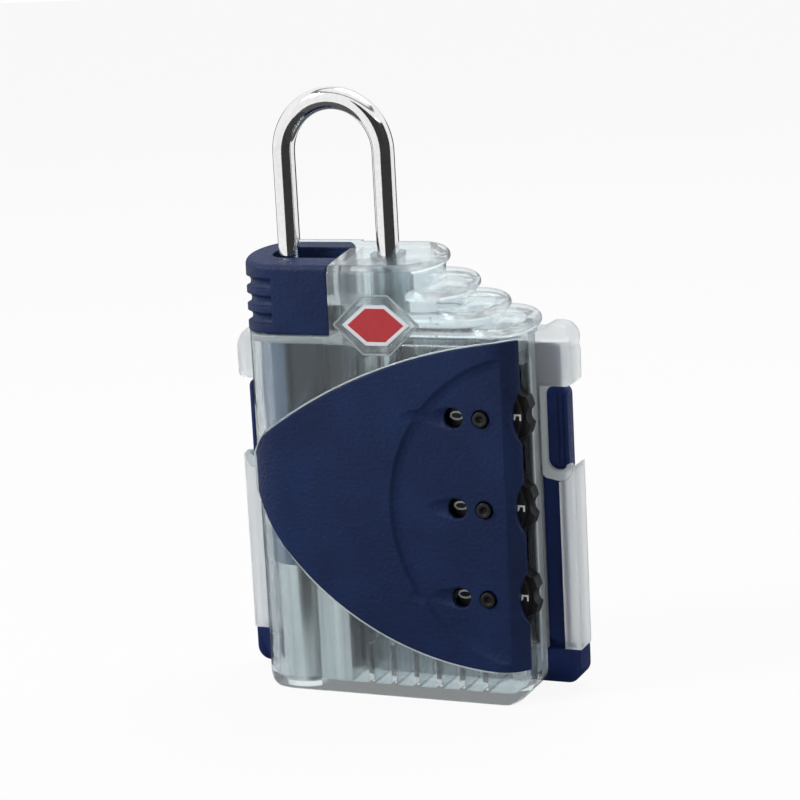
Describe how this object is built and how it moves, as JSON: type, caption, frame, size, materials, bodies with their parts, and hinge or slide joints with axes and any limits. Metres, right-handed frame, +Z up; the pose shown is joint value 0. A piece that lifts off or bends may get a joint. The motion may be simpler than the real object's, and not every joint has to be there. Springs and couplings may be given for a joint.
{
  "type": "padlock",
  "caption": "Luggage padlock with a U shackle, combination dials, a key override, a pull slider and a clear housing with a name tag drawer behind.",
  "frame": {"origin": "under the long shackle leg, on the plane of both legs, at the foot of the body, which is within 0.5 mm of the middle of the bottom of the whole lock", "axes": "+X from the short shackle leg to the dials, +Y from the front cover to the name tag, +Z up to the bow"},
  "size_m": [0.0514, 0.0133, 0.0867],
  "materials": {
    "clear_plastic": "clear polycarbonate, faintly blue, polished",
    "frosted_plastic": "clear polycarbonate with a light frost",
    "navy_plastic": "navy plastic with a soft fine-grained surface",
    "red_plastic": "plain red enamel under the clear bezel",
    "chrome_steel": "bright chrome plate",
    "nickel": "bright nickel plate",
    "satin_metal": "satin gunmetal plate",
    "steel": "zinc-plated steel",
    "spring_steel": "bright spring steel",
    "dark_steel": "blackened steel",
    "brass": "turned brass",
    "black_plastic": "black moulded plastic",
    "paper_card": "blank white card"
  },
  "bodies": {
    "case": {"front_shell": "clear_plastic", "front_cover": "navy_plastic", "emblem_bezel": "clear_plastic", "emblem_inlay": "red_plastic", "tag_holder": "frosted_plastic", "card_window": "clear_plastic", "chassis_plate": "steel", "chassis_screws": "steel", "lock_barrel": "satin_metal", "key_cylinder": "nickel", "cylinder_bracket": "nickel", "leg_bushing": "clear_plastic", "spring_seat": "dark_steel", "shackle_spring": "spring_steel", "detent_spring": "spring_steel", "dial_spindle_1": "black_plastic", "dial_spindle_2": "black_plastic", "dial_spindle_3": "black_plastic"},
    "slider": {"release_slider": "navy_plastic", "latch_plate": "steel", "slider_cam": "steel"},
    "shackle": {"shackle": "chrome_steel", "stop_ring": "steel"},
    "fence": {"fence_bar": "dark_steel"},
    "dial_1": {"dial_1": "black_plastic", "dial_cam_1": "brass"},
    "dial_2": {"dial_2": "black_plastic", "dial_cam_2": "brass"},
    "dial_3": {"dial_3": "black_plastic", "dial_cam_3": "brass"},
    "key": {"key_plug": "brass", "key_shaft": "brass"},
    "tag": {"tag_drawer": "navy_plastic", "id_card": "paper_card"}
  },
  "joints": [
    {"name": "slider_pull", "type": "slide", "parent": "case", "child": "slider", "axis": [-1, 0, 0], "range_m": [0, 0.004]},
    {"name": "shackle_lift", "type": "slide", "parent": "case", "child": "shackle", "axis": [0, 0, 1], "range_m": [0, 0.01], "deforming": ["shackle_spring"]},
    {"name": "fence_rise", "type": "slide", "parent": "case", "child": "fence", "axis": [0, 0, 1], "range_m": [0, 0.0012]},
    {"name": "dial_1_spin", "type": "hinge", "parent": "case", "child": "dial_1", "pos_m": [0.0151, 0, 0.0411], "axis": [0, 1, 0], "continuous": true},
    {"name": "dial_2_spin", "type": "hinge", "parent": "case", "child": "dial_2", "pos_m": [0.0151, 0, 0.0282], "axis": [0, 1, 0], "continuous": true},
    {"name": "dial_3_spin", "type": "hinge", "parent": "case", "child": "dial_3", "pos_m": [0.0151, 0, 0.0153], "axis": [0, 1, 0], "continuous": true},
    {"name": "key_turn", "type": "hinge", "parent": "case", "child": "key", "pos_m": [-0.0153, -0.00155, 0.01], "axis": [0, 0, 1], "range_deg": [0, 90]},
    {"name": "tag_pull", "type": "slide", "parent": "case", "child": "tag", "axis": [0, 0, -1], "range_m": [0, 0.038]}
  ],
  "couplings": [
    {"joint": "shackle_lift", "follows": "slider_pull", "ratio": 2.5},
    {"joint": "fence_rise", "follows": "slider_pull", "ratio": 0.3}
  ]
}
